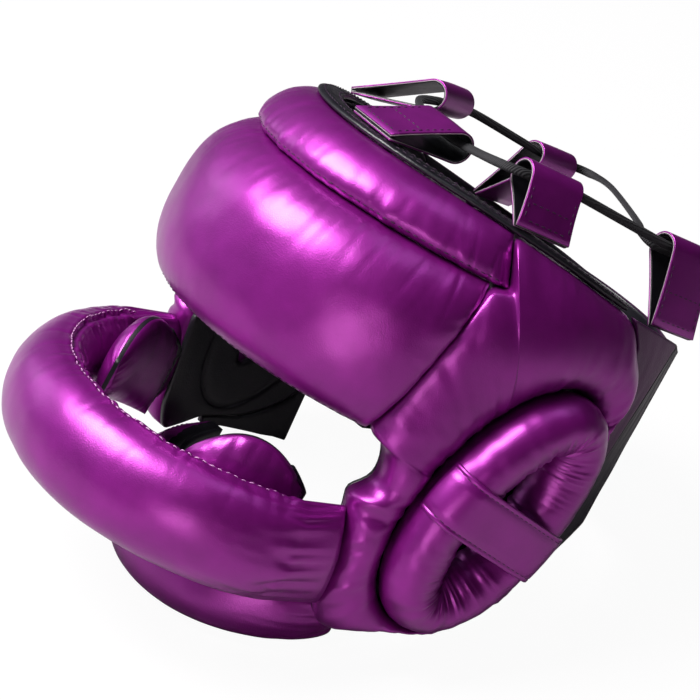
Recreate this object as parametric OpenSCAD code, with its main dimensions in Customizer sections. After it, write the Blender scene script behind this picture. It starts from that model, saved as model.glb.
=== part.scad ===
// Full-face boxing headguard: leather pads over foam with a black lining, a padded face bar,
// a chin cup, ear guards, a laced crown and a hook-and-loop closure behind the neck.
// It stands on its chin cup and on the rear lower corners of its side pads.
// Shapes are worked out in the wearer's frame, with the brow upright, and then leaned back.

/* [Head cavity] */
// Half of the cavity's width at the temples
cavity_half_w = 84; // [80:1:88]
// Depth of the cavity from the ears to the forehead
cavity_front = 105; // [100:1:110]
// Depth of the cavity from the ears to the back of the head
cavity_back = 127; // [122:1:132]
// How far the guard leans back when it stands on a table, degrees
lean_back = 23.5; // [23:0.5:25]

/* [Layers] */
// Black lining with its backing cloth
lining_t = 3.5; // [2.5:0.5:4]
// Outer leather with its backing cloth
leather_t = 2; // [1.5:0.25:2.5]
// Foam under the leather along a seam
seam_foam_t = 8.5; // [8:0.5:10]
// Thin leather of straps and lace loops
strap_t = 1.6; // [1.2:0.2:2]

/* [Forehead and crown] */
// Height of the brow edge above the chin
brow_z = 127; // [125:1:130]
// Height of the seam between the forehead pad and the upper band
band_z = 202; // [198:1:205]
// Height of the crown edge at the front
crown_z = 225; // [223:1:229]
// How far the forehead pad swells past its seams
forehead_crown = 13; // [10:1:17]
// How far the upper band swells past its seams
band_crown = 5; // [3:0.5:7]

/* [Side pads] */
// How far the side pads swell past their seams
side_crown = 8; // [5:0.5:10]

/* [Ear guards] */
// Half of the ear guard's length
ear_half_len = 62; // [60:1:63]
// Half of the ear guard's width
ear_half_w = 35; // [33:1:36]
// Width of the padded roll
roll_w = 23; // [20:0.5:24]
// How far the ear guard stands out from the cavity wall
roll_out = 32; // [29:0.5:34]
// Width of the strap over the ear guard
ear_strap_w = 20; // [14:1:24]

/* [Face bar] */
// Half of the bar's span, to the middle of the roll
bar_half_span = 84; // [82:1:87]
// Reach of the bar's middle in front of its ends
bar_reach = 87; // [82:1:92]
// Height of the bar's section
bar_h = 47; // [42:1:50]
// Thickness of the bar's section
bar_t = 33; // [28:1:35]
// Thickness of the cheek pads
cheek_t = 16; // [12:1:17]

/* [Chin cup] */
// Height of the chin cup
chin_h = 40; // [36:1:42]
// How far the chin cup swells
chin_crown = 9; // [6:0.5:11]

/* [Closure] */
// Thickness of the back panels and flaps
flap_t = 4; // [3:0.5:4.5]
// Thickness of the hook patch and of the loop patch
pile_t = 1.5; // [1:0.25:1.75]
// Clearance between the closed hook patch and loop patch
pile_gap = 0.6; // [0.5:0.1:0.8]

/* [Crown lacing] */
// Width of a lace loop
loop_w = 29; // [24:1:30]
// Thickness of the lace
lace_t = 2.6; // [2.2:0.2:3]
// Half of the thickness of the crown binding
piping_r = 1.5; // [1.25:0.25:2]

/* [Hidden] */

purple = [0.50, 0.07, 0.50];
black = [0.06, 0.06, 0.08];
foam_grey = [0.75, 0.73, 0.70];

seam_gap = 0.4;        // between neighbouring pads
seam_d = lining_t + seam_foam_t + leather_t;   // outer face along a seam
front_r = cavity_front + seam_d;
back_r = cavity_back + seam_d;

// The crown narrows above dome_z and the jaw narrows below jaw_z
dome_z = 176;
dome_h = 52;
dome_in = 0.22;
jaw_z = 104;
jaw_in = 0.12;
rear_in = 0.05;        // the back panels narrow evenly toward the crown, over 100 mm
under_d = 0.5;         // inner face of the flap that lies under the other

function mix(a, b, t) = a + (b - a) * t;
function flat(lists) = [for (l = lists) for (p = l) p];
function unit(v) = v / norm(v);
function narrow(z) =
  z > dome_z ? 1 - dome_in * pow((z - dome_z) / dome_h, 2)
  : z < jaw_z ? 1 - jaw_in * pow((jaw_z - z) / jaw_z, 2) : 1;

// Point on the shell: bearing a from the front, height z, distance d out from the cavity wall
function around(a, z, d, k) =
  let (deep = cos(a) > 0 ? cavity_front : cavity_back,
       n = unit([sin(a) / cavity_half_w, -cos(a) / deep]))
  [cavity_half_w * k * sin(a) + d * n[0], -deep * k * cos(a) + d * n[1], z];
function shell(a, z, d) = around(a, z, d, narrow(z));
function rear(a, z, d) = around(a, z, d, 1 - rear_in * (z - jaw_z) / 100);
// Bearing of a seam that lies y behind the ears
function bearing(y) = y < 0 ? acos(-y / front_r) : acos(-y / back_r);
function crown_edge(a) = crown_z - 14 * pow(abs(a) / 101, 3);

// A solid between two sheets of points in rows; wrap joins the last column to the first, and
// lens lets the two sheets share their border
module slab(low, high, wrap = false, lens = false) {
  rows = len(low);
  cols = len(low[0]);
  n = rows * cols;
  last = wrap ? cols - 1 : cols - 2;
  function on_rim(i, j) = i == 0 || i == rows - 1 || (!wrap && (j == 0 || j == cols - 1));
  function h(i, j) = n + i * cols + j % cols;
  function l(i, j) = (lens && on_rim(i, j % cols) ? n : 0) + i * cols + j % cols;
  // A corner triangle with all three points on a shared border has no thickness
  function shut(i, j, k) = lens && !wrap && on_rim(i, j) && on_rim(i + 1, j + 1)
    && (k == 0 ? on_rim(i + 1, j) : on_rim(i, j + 1));
  cells = [for (i = [0 : rows - 2]) for (j = [0 : last]) for (k = [0, 1])
    if (!shut(i, j, k)) [i, j, k]];
  faces = concat(
    [for (c = cells) let (i = c[0], j = c[1]) c[2] == 0
      ? [h(i, j), h(i + 1, j), h(i + 1, j + 1)] : [h(i, j), h(i + 1, j + 1), h(i, j + 1)]],
    [for (c = cells) let (i = c[0], j = c[1]) c[2] == 0
      ? [l(i, j), l(i + 1, j + 1), l(i + 1, j)] : [l(i, j), l(i, j + 1), l(i + 1, j + 1)]],
    lens ? [] : [for (j = [0 : last]) for (k = [0, 1]) for (e = [0, 1])
      let (i = e * (rows - 1), a = j + (e == 0 ? 0 : 1), b = j + (e == 0 ? 1 : 0))
      k == 0 ? [l(i, a), h(i, a), h(i, b)] : [l(i, a), h(i, b), l(i, b)]],
    lens || wrap ? [] : [for (i = [0 : rows - 2]) for (k = [0, 1]) for (e = [0, 1])
      let (j = e * (cols - 1), a = i + (e == 0 ? 1 : 0), b = i + (e == 0 ? 0 : 1))
      k == 0 ? [l(a, j), h(a, j), h(b, j)] : [l(a, j), h(b, j), l(b, j)]]);
  polyhedron(concat(flat(low), flat(high)), faces);
}

// A tube over rings; its ends are closed by a middle point, or joined to each other
function ring_faces(k, m, wrap) =
  [for (j = [0 : k - (wrap ? 1 : 2)]) for (i = [0 : m - 1]) for (h = [0, 1])
    let (a = j * m + i, b = j * m + (i + 1) % m,
         c = ((j + 1) % k) * m + i, d = ((j + 1) % k) * m + (i + 1) % m)
    h == 0 ? [a, b, d] : [a, d, c]];
function middle(ring) = [for (x = [0 : 2]) let (v = [for (p = ring) p[x]]) (max(v) + min(v)) / 2];
module tube(rings) {
  m = len(rings[0]);
  k = len(rings);
  ends = [for (i = [0 : m - 1]) for (h = [0, 1])
    h == 0 ? [k * m, (i + 1) % m, i] : [k * m + 1, (k - 1) * m + i, (k - 1) * m + (i + 1) % m]];
  polyhedron(concat(flat(rings), [middle(rings[0]), middle(rings[k - 1])]),
    concat(ring_faces(k, m, false), ends));
}
module hoop(rings) polyhedron(flat(rings), ring_faces(len(rings), len(rings[0]), true));

// A padded sheet bulges in its middle and is drawn in along its seams
function bulge(t, p) = pow(1 - pow(abs(2 * t - 1), p), 0.55);
edge_v = [0, 0.035, 0.16, 0.34, 0.5, 0.66, 0.84, 0.965, 1];
wide_u = concat([0, 0.018], [for (i = [1 : 13]) i / 14], [0.982, 1]);

// Leans the wearer's frame back onto the table
bar_y = -60;
bar_z = 61;
chin_y = -2;
chin_reach = 73;
chin_half_span = cavity_half_w - 9;
chin_rise = 34;
chin_taper = 0.5;
foot_cut = 0.5;
chin_foot_y = chin_y - chin_reach + 3;
level = -chin_foot_y * sin(lean_back) + 0.7 * cos(lean_back);
heel_y = 40;
heel_z = (level + shell(bearing(heel_y), 45, 0)[1] * sin(lean_back)) / cos(lean_back);
front_end = (bar_y - bar_reach) * cos(lean_back) + bar_z * sin(lean_back)
  - norm([bar_t / 2 * cos(lean_back), bar_h / 2 * sin(lean_back)]);
nape_z = 196;
back_end = (cavity_back * (1 - rear_in * (nape_z - jaw_z) / 100) + under_d + flap_t)
  * cos(lean_back) + nape_z * sin(lean_back);
stand_y = (front_end + back_end) / 2;
module stand()
  translate([0, -stand_y, -level - foot_cut]) rotate([-lean_back, 0, 0]) children();
module on_feet() difference() {
  stand() children();
  translate([-2 * cavity_back, -2 * cavity_back, -40])
    cube([4 * cavity_back, 4 * cavity_back, 40]);
}

// Forehead pad and upper band: rows up the shell, columns across it
temple = [[125, -72], [127, -71.6], [148, -66.5], [178, -61.3], [206, -56.6]];
function temple_bearing(z) = bearing(lookup(z, temple)) - 0.1;
function brow_point(u, v, d) =
  let (z = mix(brow_z, band_z - seam_gap / 2, v)) shell(mix(-1, 1, u) * temple_bearing(z), z, d);
band_end_low = 66;
band_end_high = 61.5;
function band_point(u, v, d) =
  let (a = mix(-1, 1, u) * mix(band_end_low, band_end_high, v))
  shell(a, mix(band_z + seam_gap / 2, crown_edge(a), v), d);
function brow_swell(u, v) = bulge(u, 7) * bulge(pow(v, 0.85), 2.4);
function band_swell(u, v) = bulge(u, 7) * bulge(v, 2.4);
bed = lining_t;
skinned = seam_d - leather_t;

function brow_sheet(d, rise, rim) = [for (v = edge_v) [for (u = wide_u)
  brow_point(u, v, u == 0 || u == 1 || v == 0 || v == 1 ? rim : d + rise * brow_swell(u, v))]];
band_v = [0, 0.09, 0.3, 0.5, 0.7, 0.91, 1];
function band_sheet(d, rise, rim) = [for (v = band_v) [for (u = wide_u)
  band_point(u, v, u == 0 || u == 1 || v == 0 || v == 1 ? rim : d + rise * band_swell(u, v))]];

module forehead_cover() color(purple) stand()
  slab(brow_sheet(skinned, forehead_crown, bed), brow_sheet(seam_d, forehead_crown, seam_d));
module forehead_foam() color(foam_grey) stand()
  slab(brow_sheet(bed, 0, bed), brow_sheet(skinned, forehead_crown, bed), lens = true);
module forehead_lining() color(black) stand()
  slab(brow_sheet(0, 0, 0), brow_sheet(bed, 0, bed));
module upper_band_cover() color(purple) stand()
  slab(band_sheet(skinned, band_crown, bed), band_sheet(seam_d, band_crown, seam_d));
module upper_band_foam() color(foam_grey) stand()
  slab(band_sheet(bed, 0, bed), band_sheet(skinned, band_crown, bed), lens = true);
module upper_band_lining() color(black) stand()
  slab(band_sheet(0, 0, 0), band_sheet(bed, 0, bed));

// Side pads: rows go out from the ear guard's oval to the pad's own outline, given as how far
// behind the ears and how high
ear_c = [-3, 115];
ear_tilt = 14.5;
function in_oval(p, q) =
  [ear_c[0] + p * cos(ear_tilt) + q * sin(ear_tilt),
   ear_c[1] - p * sin(ear_tilt) + q * cos(ear_tilt)];
function crown_corner(y) = [y, crown_edge(bearing(y))];
side_front = [[-47, 38], [-54, 50], [-58, 75], [-63, 94], [-65, 99], [-60, 103], [-57, 108],
  [-58, 116], [-62, 124], [-71, brow_z]];
side_top = [[-66.2, 148], [-61, 178], [-57.2, band_z - 0.6], [-47.9, band_z + 0.5],
  crown_corner(-56.3), crown_corner(-40), crown_corner(-20), crown_corner(2), crown_corner(25)];
side_rear = [[38, 200], [41, 190], [38.5, 180], [35, 173], [37, 150], [38, 120], [38, 98],
  [37, 84]];
side_low = [[32, 71], [23, 62], [13, 56], [4, 52], [-8, 50], [-20, 48], [-34, 42]];
corners = concat(side_front, side_top, side_rear, side_low);
// Where the ray from the ear through an outline point meets an oval
function oval_hit(p, half_w, half_len) =
  let (v = p - ear_c,
       s = v[0] * cos(ear_tilt) - v[1] * sin(ear_tilt),
       t = v[0] * sin(ear_tilt) + v[1] * cos(ear_tilt),
       k = norm([s / half_w, t / half_len]))
  ear_c + v / k;
function place(p, d) = shell(bearing(p[0]), p[1], d);
function drawn(p) = mix(p, ear_c, seam_gap / 2 / norm(p - ear_c));
side_w = [0, 0.1, 0.35, 0.65, 0.9, 1];
function side_sheet(d, rise, rim) = [for (w = side_w) [for (p = corners)
  let (a = oval_hit(p, ear_half_w + seam_gap, ear_half_len + seam_gap), b = drawn(p))
  place(mix(a, b, w), w == 0 || w == 1 ? rim : d + rise * bulge(w, 2.2))]];
slot_half_w = 11;
slot_half_len = 37;
function lining_sheet(d) = concat(
  [[for (p = corners) place(oval_hit(p, slot_half_w, slot_half_len), d)]],
  side_sheet(d, 0, d));

module side_cover_left() color(purple) on_feet()
  slab(side_sheet(skinned, side_crown, bed), side_sheet(seam_d, side_crown, seam_d), wrap = true);
module side_foam_left() color(foam_grey) on_feet()
  slab(side_sheet(bed, 0, bed), side_sheet(skinned, side_crown, bed), wrap = true, lens = true);
module side_lining_left() color(black) on_feet()
  slab(lining_sheet(0), lining_sheet(bed), wrap = true);
// A thin hem hangs below each side pad, and the guard stands on its rear corner
hem_top = [[-20, 48], [-8, 50], [4, 52], [13, 56], [23, 62], [32, 71], [37, 84]];
hem_low = [[-20, 44.5], [-8, 45], [4, 45.5], [14, 46], [24, 46.5], [32, 47.5], [heel_y, heel_z]];
function hem_sheet(d) = [for (v = [0, 0.5, 1]) [for (i = [len(hem_top) - 1 : -1 : 0])
  let (p = mix(hem_low[i], hem_top[i] - [0, seam_gap], v)) place(p, d)]];
module hem_left() color(black) on_feet() slab(hem_sheet(lining_t), hem_sheet(0));
module hem_right() mirror([1, 0, 0]) hem_left();
module side_cover_right() mirror([1, 0, 0]) side_cover_left();
module side_foam_right() mirror([1, 0, 0]) side_foam_left();
module side_lining_right() mirror([1, 0, 0]) side_lining_left();

// Ear guard: a padded roll round an oval, standing on the lining
roll_mid = (roll_out + lining_t + 0.4) / 2;
roll_half = (roll_out - lining_t - 0.4) / 2;
function roll_ring(t, half_w, half_d, m) =
  let (rw = ear_half_w - roll_w / 2, rl = ear_half_len - roll_w / 2,
       p = rw * sin(t), q = rl * cos(t), n = unit([sin(t) / rw, cos(t) / rl]))
  [for (i = [0 : m - 1]) let (a = -360 * i / m, w = half_w * cos(a), e = half_d * sin(a))
    place(in_oval(p + w * n[0], q + w * n[1]), roll_mid + e)];
roll_steps = 26;
module roll_body(skin, m) stand()
  hoop([for (i = [0 : roll_steps - 1])
    roll_ring(360 * i / roll_steps, roll_w / 2 - skin, roll_half - skin, m)]);
module ear_roll_left() color(purple) difference() {
  roll_body(0, 10);
  roll_body(leather_t, 8);
}
module ear_foam_left() color(foam_grey) roll_body(leather_t, 8);
module ear_roll_right() mirror([1, 0, 0]) ear_roll_left();
module ear_foam_right() mirror([1, 0, 0]) ear_foam_left();

// Flat strap over the roll, from groove to groove
function strap_profile(grow) =
  let (rw = ear_half_w - roll_w / 2, a_w = roll_w / 2 + 0.45 + grow, a_d = roll_half + 0.4 + grow)
  concat([for (a = [12 : 13 : 90]) [-rw - a_w * cos(a), roll_mid + a_d * sin(a)]],
    [[-rw / 2, roll_mid + a_d], [0, roll_mid + a_d - 0.5], [rw / 2, roll_mid + a_d]],
    [for (a = [90 : -13 : 12]) [rw + a_w * cos(a), roll_mid + a_d * sin(a)]]);
function strap_sheet(grow) = [for (q = [-13, -3, 7])
  let (h = q * ear_strap_w / 20, k = sqrt(1 - pow(h / (ear_half_len - roll_w / 2), 2)))
  [for (s = strap_profile(grow)) place(in_oval(s[0] * k, h), s[1])]];
module ear_strap_left() color(purple) stand() slab(strap_sheet(0), strap_sheet(strap_t));
module ear_strap_right() mirror([1, 0, 0]) ear_strap_left();

// Face bar: a padded roll from one side pad's front edge to the other's
function bar_ring(t, skin, m) =
  let (n = unit([bar_reach * sin(t), -bar_half_span * cos(t)]),
       c = [bar_half_span * sin(t), bar_y - bar_reach * cos(t), bar_z + 8.5 * (1 - cos(t))],
       in = pow(abs(t) / 78, 6), hr = mix(bar_t / 2, bar_t / 2 - 3, in) - skin,
       hz = bar_h / 2 - skin)
  [for (i = [0 : m - 1]) let (a = 360 * i / m)
    [c[0] + hr * cos(a) * n[0], c[1] + hr * cos(a) * n[1], c[2] + hz * sin(a)]];
function bar_end(side, skin, m) =
  [for (i = [0 : m - 1])
    let (a = 360 * i / m, z = 71 + (bar_h / 2 - skin) * sin(a),
         y = lookup(z, [for (p = side_front) [p[1], p[0]]]) - seam_gap - skin,
         q = shell(bearing(y), z, 12.5 + (11.5 - skin) * cos(a)))
    [side * q[0], q[1], q[2]]];
bar_turn = 77;
module bar_body(skin, m) stand()
  tube(concat([bar_end(-1, skin, m)], [for (t = [-bar_turn : bar_turn / 11 : bar_turn]) bar_ring(t, skin, m)],
    [bar_end(1, skin, m)]));
module face_bar_cover() color(purple) difference() {
  bar_body(0, 12);
  bar_body(leather_t, 8);
}
module face_bar_foam() color(foam_grey) bar_body(leather_t, 8);

// Cheek pads inside the bar's ends
cheek_half_span = bar_half_span - bar_t / 2 - 6.8;
cheek_reach = bar_reach - bar_t / 2 - 7.8;
cheek_top = [[0, 80], [0.25, 94], [0.5, 100], [0.78, 97], [1, 86]];
function cheek_point(u, v, d) =
  let (t = mix(36, 85, u), n = unit([cheek_reach * sin(t), -cheek_half_span * cos(t)]),
       z = mix(mix(62, 50, u), lookup(u, cheek_top), v))
  [cheek_half_span * sin(t) + d * n[0], bar_y - cheek_reach * cos(t) + d * n[1], z];
cheek_u = [0, 0.05, 0.2, 0.4, 0.6, 0.8, 0.95, 1];
cheek_v = [0, 0.06, 0.25, 0.5, 0.75, 0.94, 1];
function cheek_sheet(d, rise) = [for (v = cheek_v) [for (u = cheek_u)
  cheek_point(u, v, d + rise * bulge(u, 2.6) * bulge(v, 2.6))]];
module cheek_body(skin) stand()
  slab(cheek_sheet(-1.5 + skin * 0.5, -cheek_t / 2 + 1.5 + skin * 0.5),
    cheek_sheet(1.5 - skin * 0.5, cheek_t / 2 - 1.5 - skin * 0.5));
module cheek_cover_left() color(purple) difference() {
  cheek_body(0);
  cheek_filling();
}
function cheek_inner(d, rise) = [for (v = [0.08, 0.25, 0.5, 0.75, 0.92])
  [for (u = [0.06, 0.2, 0.4, 0.6, 0.8, 0.94])
  cheek_point(u, v, d + rise * bulge(u, 2.6) * bulge(v, 2.6))]];
module cheek_filling() stand()
  slab(cheek_inner(-0.2, -cheek_t / 2 + leather_t + 1), cheek_inner(0.2, cheek_t / 2 - leather_t - 1));
module cheek_foam_left() color(foam_grey) cheek_filling();
module cheek_cover_right() mirror([1, 0, 0]) cheek_cover_left();
module cheek_foam_right() mirror([1, 0, 0]) cheek_foam_left();

// Chin cup: rows up the cup, columns round the chin, with its underside level with the table
function chin_point(u, v, d) =
  let (t = mix(-76, 76, u), n = unit([chin_reach * sin(t), -chin_half_span * cos(t)]),
       up = 1 - cos(t),
       z = 0.7 + chin_rise * up + v * chin_h * (1 - chin_taper * up) - (d + 3) * tan(lean_back) * (1 - v))
  [chin_half_span * sin(t) + d * n[0], chin_y - chin_reach * cos(t) + d * n[1], z];
chin_v = [0, 0.06, 0.22, 0.5, 0.78, 0.94, 1];
chin_u = concat([0, 0.02], [for (i = [1 : 13]) i / 14], [0.98, 1]);
chin_in = -12;
function chin_sheet(d, rise, rim) = [for (v = chin_v) [for (u = chin_u)
  chin_point(u, v, u == 0 || u == 1 || v == 0 || v == 1 ? rim
    : d + rise * bulge(u, 4) * bulge(v, 2.4))]];
chin_bed = chin_in + lining_t;
chin_edge = -3;
module chin_cover() color(purple) on_feet()
  slab(chin_sheet(chin_edge + 2 - leather_t, chin_crown + 4, chin_bed),
    chin_sheet(chin_edge + 2, chin_crown + 4, chin_edge));
module chin_foam() color(foam_grey) on_feet()
  slab(chin_sheet(chin_bed, 0, chin_bed),
    chin_sheet(chin_edge + 2 - leather_t, chin_crown + 4, chin_bed), lens = true);
module chin_lining() color(black) on_feet()
  slab(chin_sheet(chin_in, 0, chin_in), chin_sheet(chin_bed, 0, chin_bed));

// Back panels and flaps meet along a straight fold, from the laced corner to the seam's low end
fold_low = [54, 88];
fold_high = [74, 205];
loop_d = under_d + flap_t;
hook_d = loop_d + pile_t + pile_gap;
over_d = hook_d + pile_t;
fold_gap = 0.4;
function fold_point(v) = [bearing(mix(fold_low[0], fold_high[0], v)), mix(fold_low[1], fold_high[1], v)];
panel_rows = concat([[37.5, 86], [38, 98], [38, 120], [37, 150], [35, 173], [38.5, 180],
  [41, 190], [38, 200]], [crown_corner(25)]);
function panel_sheet(d) = [for (i = [0 : len(panel_rows) - 1])
  let (r = panel_rows[i], t = (r[1] - panel_rows[0][1]) / (panel_rows[8][1] - panel_rows[0][1]),
       a = [bearing(r[0]) + 0.35, r[1]], b = fold_point(t) - [0.1, 0])
  [for (u = [0, 0.33, 0.66, 1]) let (q = mix(a, b, u)) rear(q[0], q[1], d)]];
module back_panel_left() color(purple) stand()
  slab(panel_sheet(over_d), panel_sheet(over_d + flap_t));
module back_panel_right() color(purple) mirror([1, 0, 0]) stand()
  slab(panel_sheet(under_d), panel_sheet(under_d + flap_t));

over_edge_y = 80;
over_low = [bearing(over_edge_y), 112];
over_high = [bearing(over_edge_y), 202];
function over_sheet(d, inset) = [for (j = [2 * inset : 8])
  let (a = fold_point(j / 8) + [0.1, 0], b = mix(over_low, over_high, j / 8))
  [for (i = [inset : 8 - inset]) let (q = mix(a, b, i / 8)) rear(q[0], q[1], d)]];
module closure_flap_left() color(purple) stand()
  slab(over_sheet(over_d, 0), over_sheet(over_d + flap_t, 0));
module hook_patch() color(black) stand()
  slab(over_sheet(hook_d, 1), over_sheet(over_d, 1));

// The under flap is a tapering tongue right round the back of the head
tongue_low = [[0, 88], [1 / 24, 71], [2 / 24, 68], [3 / 24, 72], [7 / 24, 87], [0.5, 98],
  [0.65, 111], [0.8, 122], [1, 118]];
tongue_high = [[0, 205], [0.3, 197], [1, 193]];
function tongue_tip(v) =
  let (z = mix(118, 193, v))
  360 - 1.2 - bearing(mix(fold_low[0], fold_high[0], (z - fold_low[1]) / (fold_high[1] - fold_low[1])));
function tongue_point(u, v, d) =
  let (a = mix(fold_point(v)[0] + 0.1, tongue_tip(v), u),
       z = mix(lookup(u, tongue_low), lookup(u, tongue_high), v))
  rear(a, z, d);
function tongue_sheet(d, u0, u1, v0, v1, n) = [for (v = [0 : 0.2 : 1])
  [for (i = [0 : n]) tongue_point(mix(u0, u1, i / n), mix(v0, v1, v), d)]];
module closure_flap_right() color(purple) mirror([1, 0, 0]) stand()
  slab(tongue_sheet(under_d, 0, 1, 0, 1, 24), tongue_sheet(under_d + flap_t, 0, 1, 0, 1, 24));
module loop_patch() color(black) mirror([1, 0, 0]) stand()
  slab(tongue_sheet(loop_d, 16 / 24, 1, 0, 1, 8),
    tongue_sheet(loop_d + pile_t, 16 / 24, 1, 0, 1, 8));

// Black binding along the crown edge
piping_half_w = seam_d / 2 - 1.5;
function piping_ring(a) =
  let (m = 8, c = shell(a, crown_edge(a) + piping_r + 0.3, seam_d / 2),
       n = unit([sin(a) / cavity_half_w, -cos(a) / (cos(a) > 0 ? cavity_front : cavity_back)]))
  [for (i = [0 : m - 1]) let (b = 360 * i / m)
    c + [piping_half_w * cos(b) * n[0], piping_half_w * cos(b) * n[1], piping_r * sin(b)]];
module crown_piping() color(black) stand()
  tube([for (a = [-99 : 5.5 : 99]) piping_ring(a)]);

// Lace loops: a strap folded over the lace, its two ends stitched together at the crown
loop_r = 6;
module teardrop(l, r, w) hull() {
  translate([0, -w / 2]) square([0.1, w]);
  translate([l, 0]) circle(r, $fn = 20);
}
// Middle of the base, heading from the front's left, rise and length up to the middle of the eye
module lace_loop(base, heading, rise, l)
  stand() translate(base) rotate([0, 0, heading]) rotate([90, -rise, 0])
    translate([0, 0, -loop_w / 2]) linear_extrude(loop_w) difference() {
      teardrop(l, loop_r + strap_t, 2 * strap_t);
      translate([3, 0]) teardrop(l - 3, loop_r, 0.2);
    }
front_base = [12, -90, 230.5];
mid_base = [73, -34, 225.6];
rear_base = [78.5, 60, 209];
rear_right_base = [-69, 66, 205.6];
module lace_loop_front() color(purple) lace_loop(front_base, 90, 11, 36);
module lace_loop_mid_left() color(purple) lace_loop(mid_base, 173, 52, 22);
module lace_loop_mid_right() color(purple)
  lace_loop([-mid_base[0], mid_base[1] + 2, mid_base[2] + 1.2], 23, 26, 41);
module lace_loop_rear_left() color(purple) lace_loop(rear_base, 180, 60, 34.5);
module lace_loop_rear_right() color(purple)
  lace_loop(rear_right_base, 10, 59, 36);

// Lace: both ends are tied together behind the left rear loop. From there it runs through the
// left loops, the front loop and the right loops, and crosses back to the left rear loop
lace_route = [[31, 111, 222], [35, 111, 232], [40, 107, 238.5], [46, 100, 240.5],
  [60, 82, 240.8], [62.8, 73, 240.8], [63, 60, 240.8], [62.8, 45, 241], [60.5, -12, 244.8], [59.3, -18, 244.5], [59.3, -32, 244.5],
  [58, -47, 244], [50, -54, 242.5], [28, -52, 239.5], [12, -52, 238.5], [-4, -52, 239.5],
  [-27, -41, 241], [-30.4, -29, 243.5], [-36, -16, 243.5], [-41.6, -3, 243.5], [-46, 12, 243],
  [-47, 54, 239.5], [-49, 69, 238.5], [-51, 84, 239], [-46, 93, 240], [-20, 84, 242],
  [40, 46, 242], [51, 39, 240.5], [57.5, 41, 238.6], [59, 48, 238.2], [59, 62, 238],
  [57, 75, 238],
  [50.5, 92, 236.8], [46, 100, 236.2], [42.5, 107, 233.5], [41, 109, 222]];
lace_half_w = 2.1;
function lace_at(i) = lace_route[max(0, min(len(lace_route) - 1, i))];
function spline(i, t) =
  let (a = lace_at(i - 1), b = lace_at(i), c = lace_at(i + 1), d = lace_at(i + 2))
  ((2 * b) + (c - a) * t + (2 * a - 5 * b + 4 * c - d) * t * t
    + (3 * b - a - 3 * c + d) * t * t * t) / 2;
lace_line = concat(flat([for (i = [0 : len(lace_route) - 2])
  let (n = max(1, round(norm(lace_at(i + 1) - lace_at(i)) / 9.5)))
  [for (k = [0 : n - 1]) spline(i, k / n)]]), [lace_route[len(lace_route) - 1]]);
function lace_ring(i) =
  let (n = len(lace_line), f = unit(lace_line[min(n - 1, i + 1)] - lace_line[max(0, i - 1)]),
       s = unit(cross(f, [0, 0, 1])), u = cross(s, f))
  [for (k = [0 : 7]) let (b = -22.5 - 45 * k)
    lace_line[i] + lace_half_w * cos(b) * s + lace_t / 2 * 0.8 * sin(b) * u];
module crown_lace() color(black) stand() tube([for (i = [0 : len(lace_line) - 1]) lace_ring(i)]);
knot_at = [46, 100, 238.3];
knot_r = 6.6;
module lace_knot() color(black) stand() translate(knot_at) rotate([90, 0, 30])
  rotate_extrude($fn = 20) translate([knot_r, 0]) circle(2, $fn = 8);

forehead_cover();
forehead_foam();
forehead_lining();
upper_band_cover();
upper_band_foam();
upper_band_lining();
side_cover_left();
side_foam_left();
side_lining_left();
side_cover_right();
side_foam_right();
side_lining_right();
hem_left();
hem_right();
cheek_cover_left();
cheek_foam_left();
cheek_cover_right();
cheek_foam_right();
ear_roll_left();
ear_foam_left();
ear_strap_left();
ear_roll_right();
ear_foam_right();
ear_strap_right();
face_bar_cover();
face_bar_foam();
chin_cover();
chin_foam();
chin_lining();
back_panel_left();
back_panel_right();
closure_flap_left();
closure_flap_right();
hook_patch();
loop_patch();
crown_piping();
lace_loop_front();
lace_loop_mid_left();
lace_loop_mid_right();
lace_loop_rear_left();
lace_loop_rear_right();
crown_lace();
lace_knot();
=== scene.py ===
"""Looks of a full-face boxing headguard: padded metallic leather, stitching, lace and closure.

Shapes are worked out in millimetres in the wearer's frame, with the brow upright, and rest() puts
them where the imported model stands, leaning back on its chin cup.
"""
import math

import bmesh
import bpy
from mathutils import Matrix, Vector, noise


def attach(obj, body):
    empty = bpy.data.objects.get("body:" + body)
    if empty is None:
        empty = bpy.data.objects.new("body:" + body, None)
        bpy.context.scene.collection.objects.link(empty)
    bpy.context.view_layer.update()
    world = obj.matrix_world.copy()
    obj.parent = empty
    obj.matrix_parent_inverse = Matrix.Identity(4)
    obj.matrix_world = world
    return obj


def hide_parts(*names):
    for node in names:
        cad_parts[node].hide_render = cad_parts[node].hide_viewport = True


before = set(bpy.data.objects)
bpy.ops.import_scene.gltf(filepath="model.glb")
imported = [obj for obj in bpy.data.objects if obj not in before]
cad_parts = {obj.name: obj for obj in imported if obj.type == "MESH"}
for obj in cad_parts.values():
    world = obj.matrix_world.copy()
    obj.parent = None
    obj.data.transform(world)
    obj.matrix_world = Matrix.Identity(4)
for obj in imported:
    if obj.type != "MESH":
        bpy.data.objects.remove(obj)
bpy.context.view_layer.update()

# Sizes in millimetres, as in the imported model
LEAN = math.radians(23.5)
HALF_W, FRONT, BACK = 84, 105, 127      # the cavity
WIDEST_Z, DOME_Z, DOME_TALL, REAR_TALL = 104, 176, 52, 100
DOME_IN, NECK_IN, REAR_IN = 0.22, 0.12, 0.05    # shares by which the cavity narrows
LINING, SEAM_FOAM, LEATHER, STRAP = 3.5, 8.5, 2, 1.6
SEAM = LINING + SEAM_FOAM + LEATHER     # outer face along a seam
BROW_Z, BAND_Z, CROWN_Z = 127, 202, 225
SEAM_GAP = 0.4
CROWN_DIP, CROWN_END = 14, 101          # how low the crown edge ends, and at what bearing
FOREHEAD_CROWN, BAND_CROWN, SIDE_CROWN = 13, 5, 8
DRAWN, LINING_DRAWN = 3, 1.4            # how far leather and lining are drawn in along a seam
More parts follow.
